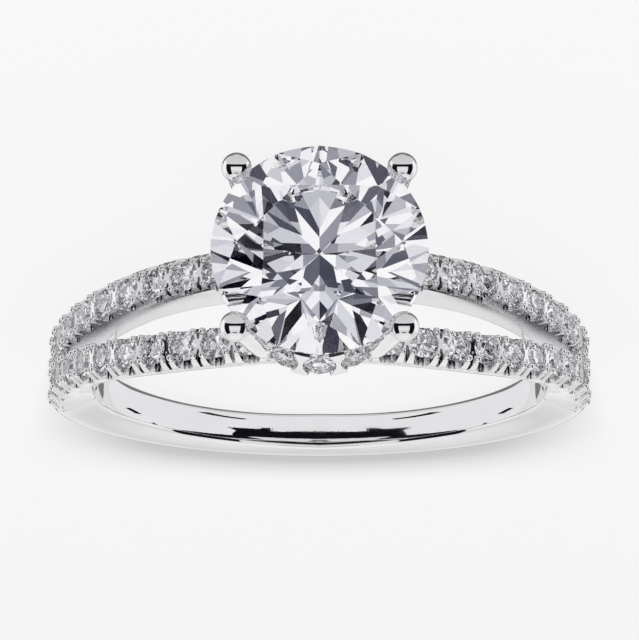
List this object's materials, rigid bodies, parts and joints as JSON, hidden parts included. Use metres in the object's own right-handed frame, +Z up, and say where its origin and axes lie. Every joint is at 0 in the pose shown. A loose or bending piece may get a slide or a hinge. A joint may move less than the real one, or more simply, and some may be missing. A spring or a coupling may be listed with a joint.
{
  "type": "halo engagement ring",
  "caption": "Split-shank pave engagement ring with a round brilliant held in ball prongs over a small hidden halo, lying on its side.",
  "frame": {"origin": "middle of the ring's footprint as it lies, on the surface that it rests on", "axes": "+Z up, the centre stone towards -Y, +X along the width of the ring"},
  "size_m": [0.0204, 0.0268, 0.007],
  "materials": {
    "white_gold": "mirror polish",
    "diamond": "faceted and polished"
  },
  "bodies": {
    "root": {"ring_metal": "white_gold", "center_stone": "diamond", "front_left_pave": "diamond", "front_right_pave": "diamond", "rear_left_pave": "diamond", "rear_right_pave": "diamond", "halo_stones": "diamond"}
  },
  "joints": []
}
